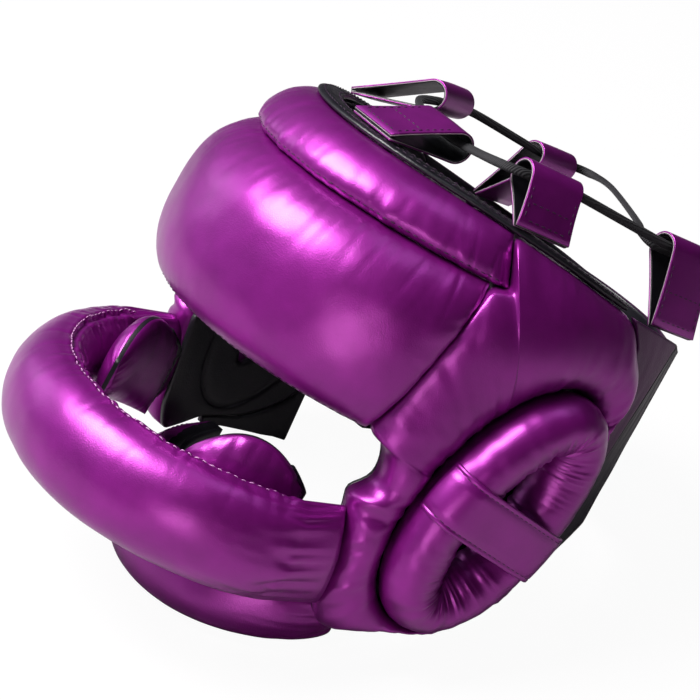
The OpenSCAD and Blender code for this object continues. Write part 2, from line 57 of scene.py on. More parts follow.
EAR_C, EAR_TILT = (-3, 115), math.radians(14.5)
EAR_HALF_W, EAR_HALF_LEN, ROLL_W, ROLL_OUT = 35, 62, 23, 32
SLOT_HALF_W, SLOT_HALF_LEN = 11, 37
EAR_STRAP_W = 20
BAR_SPAN, BAR_REACH, BAR_H, BAR_T, BAR_Y, BAR_Z = 84, 87, 47, 33, -60, 61
BAR_RISE, BAR_END_Z, BAR_ARC = 8.5, 71, 78      # the arc ends 78 degrees from the middle
CHEEK_T = 16
CHIN_H, CHIN_CROWN, CHIN_Y, CHIN_REACH, CHIN_SPAN, CHIN_RISE = 40, 9, -2, 73, 75, 34
CHIN_TAPER, CHIN_IN, CHIN_EDGE, CHIN_LOW, CHIN_ARC = 0.5, -12, -3, 0.7, 76
FLAP, PILE, PILE_GAP = 4, 1.5, 0.6
UNDER_D = 0.5
LOOP_D = UNDER_D + FLAP
HOOK_D = LOOP_D + PILE + PILE_GAP
OVER_D = HOOK_D + PILE
PIPING_R = 1.5
PIPING_HALF_W = SEAM / 2 - 1.5
LOOP_W, LOOP_R = 29, 6
LACE_HALF_W, LACE_HALF_T = 2.1, 1.05

# Where the standing guard's frame lies in the wearer's frame
FOOT_CUT = 0.5
LEVEL = (CHIN_REACH + CHIN_EDGE - CHIN_Y) * math.sin(LEAN) + CHIN_LOW * math.cos(LEAN)
FRONT_END = ((BAR_Y - BAR_REACH) * math.cos(LEAN) + BAR_Z * math.sin(LEAN)
             - math.hypot(BAR_T / 2 * math.cos(LEAN), BAR_H / 2 * math.sin(LEAN)))
NAPE_Z = 196
BACK_END = ((BACK * (1 - REAR_IN * (NAPE_Z - WIDEST_Z) / REAR_TALL) + UNDER_D + FLAP)
            * math.cos(LEAN) + NAPE_Z * math.sin(LEAN))
STAND_Y = (FRONT_END + BACK_END) / 2


def rest(p):
    """A point of the wearer's frame, in the row frame in metres."""
    x, y, z = p
    return Vector((x, y * math.cos(LEAN) + z * math.sin(LEAN) - STAND_Y,
                   -y * math.sin(LEAN) + z * math.cos(LEAN) - LEVEL - FOOT_CUT)) / 1000


def mix(a, b, t):
    return a + (b - a) * t


def mix2(a, b, t):
    return tuple(mix(p, q, t) for p, q in zip(a, b))


def lookup(x, table):
    """Straight-line interpolation in a table of (x, value), x rising."""
    if x <= table[0][0]:
        return table[0][1]
    for (x0, v0), (x1, v1) in zip(table, table[1:]):
        if x <= x1:
            return mix(v0, v1, (x - x0) / (x1 - x0))
    return table[-1][1]


def rough(x, y=0.0, z=0.0):
    """Smooth noise from about -1 to 1."""
    return noise.noise(Vector((x, y, z)))


def swell(t, power):
    """Cross-section of a stuffed pad: full in the middle and drawn in at both seams."""
    return max(0.0, 1 - abs(2 * t - 1) ** power) ** 0.55


def gathers(along, depth, decay, pitch, seed):
    """Puckers across a seam: narrow valleys that fade with the depth from the seam, in mm."""
    n = rough(along / pitch, seed, depth / (5 * pitch))
    return math.exp(-depth / decay) * (0.7 * n - math.exp(-(n / 0.16) ** 2))


def slack(p, seed):
    """Soft unevenness of leather over foam, in mm, at a point of the wearer's frame."""
    q = Vector(p)
    return (0.75 * noise.noise(q / 34 + Vector((seed, 0, 0)))
            + 0.28 * noise.noise(q / 12 + Vector((0, seed, 0))))


# The shell: a bearing in degrees from the front, a height and a depth outward
def pushed(x, y, z, nx, ny, d):
    """The point (x, y, z), moved by d in the level direction (nx, ny)."""
    n = math.hypot(nx, ny)
    return (x + d * nx / n, y + d * ny / n, z)


def unit(x, y):
    n = math.hypot(x, y)
    return x / n, y / n


def narrow(z):
    """Share of the cavity's full size at a height, less toward the crown and the neck."""
    if z > DOME_Z:
        return 1 - DOME_IN * ((z - DOME_Z) / DOME_TALL) ** 2
    if z < WIDEST_Z:
        return 1 - NECK_IN * ((WIDEST_Z - z) / WIDEST_Z) ** 2
    return 1


def level_normal(a):
    """The cavity's outward direction at a bearing in radians, not yet of length one."""
    return math.sin(a) / HALF_W, -math.cos(a) / (FRONT if math.cos(a) > 0 else BACK)


def around(bearing_deg, z, d, k):
    a = math.radians(bearing_deg)
    deep = FRONT if math.cos(a) > 0 else BACK
    return pushed(HALF_W * k * math.sin(a), -deep * k * math.cos(a), z, *level_normal(a), d)


def shell(a, z, d):
    return around(a, z, d, narrow(z))


def rear(a, z, d):
    return around(a, z, d, 1 - REAR_IN * (z - WIDEST_Z) / REAR_TALL)


def bearing(y):
    r = FRONT + SEAM if y < 0 else BACK + SEAM
    return math.degrees(math.acos(max(-1, min(1, -y / r))))


def place(p, d):
    """A point (y, z) of the side view, on the shell's left side."""
    return shell(bearing(p[0]), p[1], d)


def crown_edge(a):
    return CROWN_Z - CROWN_DIP * (abs(a) / CROWN_END) ** 3


# Materials
GLOSS_SPREAD, CREASE_SCALE, BUMP = 0.06, 90, 0.6


def add_node(tree, kind, **inputs):
    node = tree.nodes.new(kind)
    for name, value in inputs.items():
        node.inputs[name.replace("_", " ")].default_value = value
    return node


def surface(name, dark, light, roughness, metallic=0.0, grain=900, grain_depth=0.00012,
            crease_depth=0.0003, sheen=0.0, coat=0.0, weave=None):
    """Leather or cloth: two blended tones, a fine grain, soft creases and uneven gloss."""
    mat = bpy.data.materials.new(name)
    mat.use_nodes = True
    tree = mat.node_tree
    shader = tree.nodes["Principled BSDF"]
    for key, value in (("Metallic", metallic), ("Sheen Weight", sheen), ("Coat Weight", coat),
                       ("Coat Roughness", 0.3)):
        shader.inputs[key].default_value = value
    link = tree.links.new
    place_in = tree.nodes.new("ShaderNodeTexCoord").outputs["Object"]

    tone = add_node(tree, "ShaderNodeTexNoise", Scale=38.0, Detail=4.0, Roughness=0.6)
    link(place_in, tone.inputs["Vector"])
    blend = tree.nodes.new("ShaderNodeValToRGB")
    first, last = blend.color_ramp.elements
    first.position, first.color = 0.32, (*dark, 1)
    last.position, last.color = 0.68, (*light, 1)
    link(tone.outputs["Fac"], blend.inputs["Fac"])
    link(blend.outputs["Color"], shader.inputs["Base Color"])

    gloss = add_node(tree, "ShaderNodeMapRange", To_Min=roughness - GLOSS_SPREAD,
                     To_Max=roughness + GLOSS_SPREAD)
    link(tone.outputs["Fac"], gloss.inputs["Value"])
    link(gloss.outputs["Result"], shader.inputs["Roughness"])

    if weave:
        fine = add_node(tree, "ShaderNodeTexWave", Scale=weave, Distortion=1.5, Detail=1.0)
        fine_out = fine.outputs["Fac"]
    else:
        fine = add_node(tree, "ShaderNodeTexVoronoi", Scale=grain, Randomness=1.0)
        fine.feature = "SMOOTH_F1"
        fine_out = fine.outputs["Distance"]
    link(place_in, fine.inputs["Vector"])
    soft = add_node(tree, "ShaderNodeTexNoise", Scale=CREASE_SCALE, Detail=5.0, Roughness=0.55)
    link(place_in, soft.inputs["Vector"])
    low = add_node(tree, "ShaderNodeBump", Distance=crease_depth, Strength=BUMP)
    link(soft.outputs["Fac"], low.inputs["Height"])
    high = add_node(tree, "ShaderNodeBump", Distance=grain_depth, Strength=BUMP)
    link(fine_out, high.inputs["Height"])
    link(low.outputs["Normal"], high.inputs["Normal"])
    link(high.outputs["Normal"], shader.inputs["Normal"])
    return mat


PURPLE = surface("pearl_purple", (0.235, 0.006, 0.220), (0.31, 0.010, 0.29), 0.36, metallic=0.7,
                 coat=0.5, grain=2000, grain_depth=0.00008, crease_depth=0.0002)
PLAIN = surface("dark_purple", (0.050, 0.006, 0.050), (0.075, 0.008, 0.072), 0.46, metallic=0.3,
                grain=1300, crease_depth=0.00015)
BLACK = surface("black_hide", (0.0035, 0.0035, 0.0055), (0.007, 0.007, 0.010), 0.40, grain=1100)
RAW = surface("raw_edge", (0.34, 0.25, 0.31), (0.50, 0.42, 0.46), 0.8, grain=1800)
THREAD = surface("thread", (0.020, 0.004, 0.022), (0.035, 0.007, 0.04), 0.6, weave=900,
                 grain_depth=0.0001)
PALE = surface("pale_thread", (0.40, 0.16, 0.38), (0.62, 0.34, 0.58), 0.5, weave=900,
               grain_depth=0.0001)
CLOTH = surface("black_weave", (0.0025, 0.0025, 0.004), (0.007, 0.007, 0.009), 0.75, weave=420,
                grain_depth=0.0003, sheen=0.05)
PILE_MAT = surface("black_pile", (0.006, 0.006, 0.010), (0.02, 0.02, 0.028), 0.9, grain=1500,
                   grain_depth=0.0005, sheen=0.3)


# Meshes
def placed(name, data):
    obj = bpy.data.objects.new(name, data)
    bpy.context.scene.collection.objects.link(obj)
    return obj


def piece(name, points, faces, material, body="shell", replaces=(), fill=None, more=(),
          of_face=None):
    """A mesh from points in the wearer's frame; more are further materials, picked by of_face."""
    mesh = bpy.data.meshes.new(name)
    spots = [rest(p) for p in points]
    mesh.from_pydata([(p.x, p.y, max(0.0, p.z)) for p in spots], [], faces)
    obj = placed(name, mesh)
    for mat in (material, *more):
        mesh.materials.append(mat)
    bm = bmesh.new()
    bm.from_mesh(mesh)
    bmesh.ops.recalc_face_normals(bm, faces=bm.faces)
    for face in bm.faces:
        face.smooth = True
        if of_face:
            face.material_index = of_face[face.index]
    bm.to_mesh(mesh)
    bm.free()
    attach(obj, body)
    if replaces:
        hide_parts(*replaces)
    return obj


def slab(outer, inner, wrap=False):
    """Points and faces of the closed solid between two grids of points, row by row."""
    rows, cols = len(outer), len(outer[0])
    points = [p for row in outer for p in row] + [p for row in inner for p in row]
    n = rows * cols
    last = cols if wrap else cols - 1
    faces = []
    for i in range(rows - 1):
        for j in range(last):
            a, b = i * cols + j, i * cols + (j + 1) % cols
            c, d = (i + 1) * cols + (j + 1) % cols, (i + 1) * cols + j
            faces += [(a, b, c, d), (n + d, n + c, n + b, n + a)]
    for j in range(last):
        for i in (0, rows - 1):
            a, b = i * cols + j, i * cols + (j + 1) % cols
            faces.append((a, b, n + b, n + a))
    if not wrap:
        for i in range(rows - 1):
            for j in (0, cols - 1):
                a, b = i * cols + j, (i + 1) * cols + j
                faces.append((a, b, n + b, n + a))
    return points, faces


def sides_of(points, faces, inner=1, rim=0):
    """Material number of each face of a slab, by the side it lies on."""
    n = len(points) // 2
    return [inner if min(face) >= n else 0 if max(face) < n else rim for face in faces]


def tube(rings, closed=False):
    """Points and faces of a tube over rings of points; open ends are closed by a fan."""
    m, k = len(rings[0]), len(rings)
    points = [p for ring in rings for p in ring]
    faces = []
    for j in range(k if closed else k - 1):
        for i in range(m):
            a, b = j * m + i, j * m + (i + 1) % m
            c, d = ((j + 1) % k) * m + (i + 1) % m, ((j + 1) % k) * m + i
            faces.append((a, b, c, d))
    if not closed:
        for j in (0, k - 1):
            ring = rings[j]
            centre = tuple(sum(p[x] for p in ring) / m for x in range(3))
            points.append(centre)
            faces += [(j * m + i, j * m + (i + 1) % m, len(points) - 1) for i in range(m)]
    return points, faces


def eased(n):
    """n + 1 values from 0 to 1, closer together near both ends."""
    return [mix(i / n, (1 - math.cos(math.pi * i / n)) / 2, 0.75) for i in range(n + 1)]


def sheet(point, rows, cols):
    return [[point(u, v) for u in cols] for v in rows]


STITCH, STITCH_GAP = 2.3, 1.2
STITCH_SHAPE = ((0.0, 0.35), (0.18, 0.9), (0.5, 1.0), (0.82, 0.9), (1.0, 0.35))


def stitches(name, lines, body="shell", radius=0.26, lift=0.05, material=THREAD):
    """Rows of stitches. Each line is a list of (point, outward direction) in the wearer's frame."""
    points, faces = [], []
    for line in lines:
        spots = [Vector(p) for p, _ in line]
        outs = [Vector(n).normalized() for _, n in line]
        run = [0.0]
        for p, q in zip(spots, spots[1:]):
            run.append(run[-1] + (q - p).length)

        def at(s):
            s = max(0.0, min(run[-1], s))
            k = max(i for i in range(len(run)) if run[i] <= s + 1e-9)
            k = min(k, len(run) - 2)
            t = (s - run[k]) / max(1e-9, run[k + 1] - run[k])
            return spots[k].lerp(spots[k + 1], t), outs[k].lerp(outs[k + 1], t).normalized()

        s = STITCH_GAP
        while s + STITCH < run[-1]:
            (a, na), (b, nb) = at(s), at(s + STITCH)
            along = (b - a).normalized()
            rings = []
            for t, r in STITCH_SHAPE:
                up = na.lerp(nb, t).normalized()
                side = along.cross(up).normalized()
                c = a.lerp(b, t) + up * (lift + radius * (1.2 * math.sin(math.pi * t) - 0.6))
                rings.append([tuple(c + radius * r * (math.cos(w) * side + math.sin(w) * up))
                              for w in (math.tau * i / 6 for i in range(6))])
            p, f = tube(rings)
            faces += [tuple(v + len(points) for v in face) for face in f]
            points += p
            s += STITCH + STITCH_GAP
    piece(name, points, faces, material, body)


def line_on(point, track, other):
    """(point, outward) pairs along a track of parameters, outward away from other's surface."""
    return [(point(*uv), Vector(point(*uv)) - Vector(other(*uv))) for uv in track]


# The camera comes before all pieces
AZIMUTH, ELEVATION, ROLL = math.radians(55.18), math.radians(28.67), math.radians(10.19)
DISTANCE = 0.855
TARGET = Vector((-0.0105, 0.0016, 0.0938))
LENS = 96.8


def aim_camera():
    a, e = AZIMUTH, ELEVATION
    back = Vector((math.sin(a) * math.cos(e), -math.cos(a) * math.cos(e), math.sin(e)))
    right = Vector((math.cos(a), math.sin(a), 0))
    up = back.cross(right)
    x = right * math.cos(ROLL) + up * math.sin(ROLL)
    y = -right * math.sin(ROLL) + up * math.cos(ROLL)
    data = bpy.data.cameras.new("camera")
    data.lens = LENS
    data.clip_start = 0.05
    cam = placed("camera", data)
    basis = Matrix((x, y, back)).transposed().to_4x4()
    cam.matrix_world = Matrix.Translation(TARGET + back * DISTANCE) @ basis
    bpy.context.scene.camera = cam


aim_camera()

# Lace and knot
LACE_ROUTE = [
    (31, 111, 222), (35, 111, 232), (40, 107, 238.5), (46, 100, 240.5), (60, 82, 240.8),
    (62.8, 73, 240.8), (63, 60, 240.8), (62.8, 45, 241), (60.5, -12, 244.8),
    (59.3, -18, 244.5), (59.3, -32, 244.5), (58, -47, 244), (50, -54, 242.5),
    (28, -52, 239.5), (12, -52, 238.5), (-4, -52, 239.5), (-27, -41, 241),
    (-30.4, -29, 243.5), (-36, -16, 243.5), (-41.6, -3, 243.5), (-46, 12, 243),
    (-47, 54, 239.5), (-49, 69, 238.5), (-51, 84, 239), (-46, 93, 240), (-20, 84, 242),
    (40, 46, 242), (51, 39, 240.5), (57.5, 41, 238.6), (59, 48, 238.2), (59, 62, 238),
    (57, 75, 238), (50.5, 92, 236.8), (46, 100, 236.2), (42.5, 107, 233.5), (41, 109, 222)]
LACE_STEP, LACE_SIDES, LACE_FACE = 2.0, 16, Vector((0.72, -0.5, 0.45))
KNOT_C, KNOT_R, KNOT_DEEP = Vector((46, 100, 238.3)), 1.75, 1.2
KNOT_STEPS, KNOT_SIDES, KNOT_HALF_W, KNOT_HALF_T = 96, 10, 1.7, 1.3


def smooth_line(route, step):
    """Points about step apart on a smooth curve through the route."""
    ends = [route[0], *route, route[-1]]
    points = []
    for i in range(1, len(ends) - 2):
        p = [Vector(q) for q in ends[i - 1:i + 3]]
        n = max(1, round((p[2] - p[1]).length / step))
        for k in range(n):
            t = k / n
            points.append(0.5 * (2 * p[1] + (p[2] - p[0]) * t
                                 + (2 * p[0] - 5 * p[1] + 4 * p[2] - p[3]) * t * t
                                 + (3 * p[1] - p[0] - 3 * p[2] + p[3]) * t ** 3))
    return points + [Vector(route[-1])]


def flat_tube(line):
    """Rings of the flat woven lace along a line, broad side toward LACE_FACE where it can be."""
    ahead = [(line[min(len(line) - 1, i + 1)] - line[max(0, i - 1)]).normalized()
             for i in range(len(line))]
    across = []
    for way in ahead:
        side = way.cross(LACE_FACE)
        if across and side.dot(across[-1]) < 0:
            side = -side
        across.append(side)
    rings = []
    for i, p in enumerate(line):
        side = sum((across[k] for k in range(max(0, i - 5), min(len(line), i + 6))), Vector())
        side = (side - ahead[i] * side.dot(ahead[i])).normalized()
        up = side.cross(ahead[i])
        rings.append([tuple(p + LACE_HALF_W * math.copysign(abs(math.cos(w)) ** 0.7,
                                                            math.cos(w)) * side
                            + LACE_HALF_T * math.sin(w) * up)
                      for w in (math.tau * k / LACE_SIDES for k in range(LACE_SIDES))])
    return rings


def make_lace():
    line = smooth_line(LACE_ROUTE, LACE_STEP)
    lace = piece("lace", *tube(flat_tube(line)), CLOTH, replaces=("crown_lace",))
    knot_line = []
    for i in range(KNOT_STEPS + 1):
        t = math.tau * i / KNOT_STEPS
        knot_line.append(KNOT_C + Vector((
            KNOT_R * (math.sin(t) + 2 * math.sin(2 * t)),
            KNOT_DEEP * math.sin(3 * t),
            KNOT_R * (math.cos(t) - 2 * math.cos(2 * t)))))
    rings = []
    for i in range(KNOT_STEPS):
        ahead = (knot_line[(i + 1) % KNOT_STEPS] - knot_line[i - 1]).normalized()
        side = ahead.cross(Vector((0, 1, 0))).normalized()
        up = side.cross(ahead)
        rings.append([tuple(knot_line[i] + KNOT_HALF_W * math.cos(w) * side
                            + KNOT_HALF_T * math.sin(w) * up)
                      for w in (math.tau * k / KNOT_SIDES for k in range(KNOT_SIDES))])
    knot = piece("lace_knot_detail", *tube(rings, closed=True), CLOTH, replaces=("lace_knot",))
    return lace, knot, line


lace, knot, lace_line = make_lace()

# Forehead pad and upper band
TEMPLE = [(125, -72), (127, -71.6), (148, -66.5), (178, -61.3), (206, -56.6)]
TEMPLE_GAP = 0.1                        # degrees
BAND_LOW_A, BAND_HIGH_A = 66, 61.5      # bearings of the band's ends
BROW_SPAN, BROW_TALL, BAND_TALL = 260, 75, 22
SKIN_GAP = 0.05                         # between a lining's outer face and its pad


def brow_at(u, v, d):
    z = mix(BROW_Z, BAND_Z - SEAM_GAP / 2, v)
    return shell(mix(-1, 1, u) * (bearing(lookup(z, TEMPLE)) - TEMPLE_GAP), z, d)


def brow_out(u, v):
    """Outer face of the forehead pad."""
    d = (SEAM - DRAWN + (FOREHEAD_CROWN + DRAWN) * mix(0.5, 1, swell(u, 9))
         * swell(v ** 0.85, 2.4))
    side = min(u, 1 - u) * BROW_SPAN
    d += 0.9 * gathers(u * BROW_SPAN, (1 - v) * BROW_TALL, 8, 7, 3.1)
    d += 0.35 * gathers(u * BROW_SPAN, v * BROW_TALL, 6, 9, 8.4)
    d += 0.55 * gathers(v * BROW_TALL, side, 7, 8, 5.7 + (u > 0.5))
    edge = min(1, side / 8) * min(1, v * 9, (1 - v) * 9)
    return brow_at(u, v, d + edge * slack(brow_at(u, v, d), 1.3))


def band_at(u, v, d):
    a = mix(-1, 1, u) * mix(BAND_LOW_A, BAND_HIGH_A, v)
    return shell(a, mix(BAND_Z + SEAM_GAP / 2, crown_edge(a), v), d)


def band_out(u, v):
    """Outer face of the narrow band above the forehead pad."""
    d = SEAM - DRAWN + (BAND_CROWN + DRAWN) * swell(u, 7) * swell(v, 2.4)
    side = min(u, 1 - u) * BROW_SPAN * 0.85
    d += 1.0 * gathers(u * BROW_SPAN, v * BAND_TALL, 7, 8, 12.9)
    d += 0.5 * gathers(u * BROW_SPAN, (1 - v) * BAND_TALL, 5, 9, 21.3)
    d += 0.6 * gathers(v * BAND_TALL, side, 6, 6, 30.2)
    edge = min(1, side / 8) * min(1, v * 5, (1 - v) * 5)
    return band_at(u, v, d + edge * 0.8 * slack(band_at(u, v, d), 7.7))


def lining_d(u, v):
    """Depth of a lining's inner face, which is drawn in round its edge."""
    return LINING_DRAWN * (1 - swell(u, 7) * swell(v, 3))


def lining_skin(name, at, inmost, cols, rows):
    """The black lining of a pad, whose surface at() gives; inmost is its innermost depth."""
    us, vs = eased(cols), eased(rows)
    piece(name + "_lining_skin", *slab(
        sheet(lambda u, v: at(u, v, inmost + LINING - SKIN_GAP), vs, us),
        sheet(lambda u, v: at(u, v, inmost + lining_d(u, v)), vs, us)), BLACK,
        replaces=(name + "_lining",))


def make_front():
    for name, out, at, rows, skin_rows, fill in (
            ("forehead", brow_out, brow_at, 76, 30, 0.8),
            ("upper_band", band_out, band_at, 34, 14, 0.7)):
        us, vs = eased(190), eased(rows)
        inner = sheet(lambda u, v: at(u, v, LINING), vs, us)
        piece(name + "_pad", *slab(sheet(out, vs, us), inner), PURPLE,
              replaces=(name + "_cover", name + "_foam"), fill=fill)
        lining_skin(name, at, 0, 80, skin_rows)
    ring = [i / 180 for i in range(3, 178)]
    stitches("front_stitches", [
        line_on(band_out, [(u, 0.12) for u in ring], lambda u, v: band_at(u, v, 0)),
        line_on(brow_out, [(u, 0.02) for u in ring], lambda u, v: brow_at(u, v, 0)),
    ], radius=0.2)


make_front()

# Side pads, outlined by points of the side view (y, z)
def crown_corner(y):
    return (y, crown_edge(bearing(y)))


SIDE_FRONT = [(-47, 38), (-54, 50), (-58, 75), (-63, 94), (-65, 99), (-60, 103), (-57, 108),
              (-58, 116), (-62, 124), (-71, BROW_Z)]
SIDE_TOP = [(-66.2, 148), (-61, 178), (-57.2, BAND_Z - 0.6), (-47.9, BAND_Z + 0.5),
            crown_corner(-56.3), crown_corner(-40), crown_corner(-20), crown_corner(2),
            crown_corner(25)]
SIDE_REAR = [(38, 200), (41, 190), (38.5, 180), (35, 173), (37, 150), (38, 120), (38, 98),
             (37, 84)]
SIDE_LOW = [(32, 71), (23, 62), (13, 56), (4, 52), (-8, 50), (-20, 48), (-34, 42)]
OUTLINE_STEP = 2.6
CHEEK_SEAM = (-64, 95.5), (-36, 98.5)


def resample(polygon, step):
    """Points about step apart round a closed polygon, keeping its corners."""
    out = []
    for a, b in zip(polygon, polygon[1:] + polygon[:1]):
        n = max(1, round(math.dist(a, b) / step))
        out += [mix2(a, b, k / n) for k in range(n)]
    return out


def soften(polygon, times=2):
    """Rounds a closed polygon's corners a little."""
    for _ in range(times):
        polygon = [tuple((a[x] + 2 * b[x] + c[x]) / 4 for x in (0, 1))
                   for a, b, c in zip(polygon[-1:] + polygon, polygon, polygon[1:] + polygon[:1])]
    return polygon


OUTLINE = soften(resample(SIDE_FRONT + SIDE_TOP + SIDE_REAR + SIDE_LOW, OUTLINE_STEP))


def oval_hit(p, half_w, half_len):
    """Where the line from the ear's centre to p crosses an oval round that centre."""
    vy, vz = p[0] - EAR_C[0], p[1] - EAR_C[1]
    s = vy * math.cos(EAR_TILT) - vz * math.sin(EAR_TILT)
    t = vy * math.sin(EAR_TILT) + vz * math.cos(EAR_TILT)
    k = math.hypot(s / half_w, t / half_len)
    return (EAR_C[0] + vy / k, EAR_C[1] + vz / k)


def in_oval(p, q):
    return (EAR_C[0] + p * math.cos(EAR_TILT) + q * math.sin(EAR_TILT),
            EAR_C[1] - p * math.sin(EAR_TILT) + q * math.cos(EAR_TILT))


def side_at(j, w, d):
    p = OUTLINE[j % len(OUTLINE)]
    a = oval_hit(p, EAR_HALF_W + SEAM_GAP, EAR_HALF_LEN + SEAM_GAP)
    far = math.dist(p, EAR_C)
    b = mix2(p, EAR_C, SEAM_GAP / 2 / far)
    return place(mix2(a, b, w), d)


def side_width(j):
    p = OUTLINE[j % len(OUTLINE)]
    return math.dist(p, oval_hit(p, EAR_HALF_W, EAR_HALF_LEN))


def window(x, a, b, c, d):
    """0 outside a to d, 1 between b and c, and smooth between."""
    t = min(max(0.0, min(1.0, (x - a) / (b - a))), max(0.0, min(1.0, (d - x) / (d - c))))
    return t * t * (3 - 2 * t)


def cheek_seam(p):
    """Distance from the seam between the eye slot's lower corner and the ear guard."""
    (y0, z0), (y1, z1) = CHEEK_SEAM
    t = max(0.0, min(1.0, ((p[0] - y0) * (y1 - y0) + (p[1] - z0) * (z1 - z0))
                     / ((y1 - y0) ** 2 + (z1 - z0) ** 2)))
    return math.dist(p, (mix(y0, y1, t), mix(z0, z1, t)))


def side_out(j, w):
    """Outer face of the side pad: j counts round the outline and w goes out from the ear."""
    wide = side_width(j)
    y, z = OUTLINE[j % len(OUTLINE)]
    full = swell(w, 2.2)
    if w > 0.5:
        temple = window(z, 128, 140, 212, 226) * window(-y, 44, 50, 90, 95)
        behind = window(y, 26, 36, 90, 95) * window(z, 80, 100, 215, 240)
        full = mix(full, (1 - (2 * w - 1) ** 1.7) ** 1.1, behind)
        full = mix(full, 1, 0.62 * temple)
    d = SEAM - DRAWN + (SIDE_CROWN + DRAWN) * full
    round_s = j * OUTLINE_STEP
    cheek = window(-y, 40, 48, 90, 95) * window(z, 30, 36, 104, 116)
    d += (0.6 + 1.3 * cheek) * gathers(round_s, (1 - w) * wide, 9 + 7 * cheek, 8, 41.2)
    d += 1.0 * gathers(round_s * 0.7, w * wide, 9, 6, 53.8)
    p = mix2((y, z), oval_hit((y, z), EAR_HALF_W, EAR_HALF_LEN), 1 - w)
    d -= 2.0 * math.exp(-(cheek_seam(p) / 2.0) ** 2)
    edge = min(1, w * 6, (1 - w) * 6)
    return side_at(j, w, d + edge * slack(side_at(j, w, d), 17.1))


def flipped(grid):
    return [[(-x, y, z) for x, y, z in row] for row in grid]


SIDES = (("left", lambda grid: grid), ("right", flipped))


def both_sides(name, outer, inner, material, nodes, wrap=False, fill=None):
    for side, turn in SIDES:
        piece(f"{name}_{side}", *slab(turn(outer), turn(inner), wrap), material,
              replaces=[f"{n}_{side}" for n in nodes], fill=fill)


def mirrored(lines):
    return [[((-p[0], p[1], p[2]), (-n[0], n[1], n[2])) for p, n in line] for line in lines]


def make_sides():
    js = range(len(OUTLINE))
    ws = eased(64)
    both_sides("side_pad", sheet(side_out, ws, js),
               sheet(lambda j, w: side_at(j, w, LINING), ws, js), PURPLE,
               ("side_cover", "side_foam"), wrap=True, fill=0.75)
    few = eased(16)
    near = [k / 9 for k in range(9)]

    def round_slot(t, j, d):
        hw, hl = mix(SLOT_HALF_W, EAR_HALF_W, t), mix(SLOT_HALF_LEN, EAR_HALF_LEN, t)
        return place(oval_hit(OUTLINE[j], hw, hl), d)

    def puffed(t, j):
        return 1.3 - 1.3 * swell(t, 3) + 0.5 * gathers(j * OUTLINE_STEP, t * 20, 6, 7, 58.2)
    both_sides("side_lining_skin",
               [[round_slot(t, j, LINING - SKIN_GAP) for j in js] for t in near]
               + sheet(lambda j, w: side_at(j, w, LINING - SKIN_GAP), few, js),
               [[round_slot(t, j, max(0.05, puffed(t, j))) for j in js] for t in near]
               + sheet(lambda j, w: side_at(j, w, LINING_DRAWN * (1 - swell(w, 3))), few, js),
               BLACK, ("side_lining",), wrap=True)
    back = [j for j in js if OUTLINE[j][0] > 33 and 86 < OUTLINE[j][1] < 204]
    line = [line_on(side_out, [(j, 0.97) for j in back], lambda j, w: side_at(j, w, 0))]
    stitches("side_stitches", line + mirrored(line), radius=0.2)


make_sides()

HEM_TOP = [(-20, 48), (-8, 50), (4, 52), (13, 56), (23, 62), (32, 71), (37, 84)]
HEEL_Y, HEEL_GUESS_Z, HEEL_LIFT = 40, 45, 0.6
HEEL_Z = ((LEVEL + shell(bearing(HEEL_Y), HEEL_GUESS_Z, 0)[1] * math.sin(LEAN)) / math.cos(LEAN)
          + HEEL_LIFT)
HEM_COLS, HEM_RIM = 48, 0.5
HEM_LOW = [(-20, 44.5), (-8, 45), (4, 45.5), (14, 46), (24, 46.5), (32, 47.5), (HEEL_Y, HEEL_Z)]


def make_hems():
    def at(i, v, d):
        k = min(len(HEM_TOP) - 2, int(i))
        low = mix2(HEM_LOW[k], HEM_LOW[k + 1], i - k)
        top = mix2(HEM_TOP[k], HEM_TOP[k + 1], i - k)
        return place(mix2(low, (top[0], top[1] - SEAM_GAP), v), d)
    cols = [k * (len(HEM_TOP) - 1) / HEM_COLS for k in range(HEM_COLS + 1)]
    rows = [0, 0.04, 0.2, 0.4, 0.6, 0.8, 0.96, 1]

    def rim(v):
        return HEM_RIM if v in (0, 1) else 0.0
    outer = sheet(lambda i, v: at(i, v, LINING - rim(v)), rows, cols)
    inner = sheet(lambda i, v: at(i, v, rim(v)), rows, cols)
    both_sides("hem_strip", outer, inner, BLACK, ("hem",))
    line = [[(at(i, 0.25, LINING), (1, 0, 0)) for i in cols],
            [(at(i, 0.8, LINING), (1, 0, 0)) for i in cols]]
    stitches("hem_stitches", line + mirrored(line))


make_hems()

# Ear guards
ROLL_MID = (ROLL_OUT + LINING + SEAM_GAP) / 2
ROLL_HALF = (ROLL_OUT - LINING - SEAM_GAP) / 2
ROLL_RINGS, ROLL_SIDES, ROLL_STEP = 280, 44, 0.87
ROLL_FULLER = 3.4                       # toward the slot


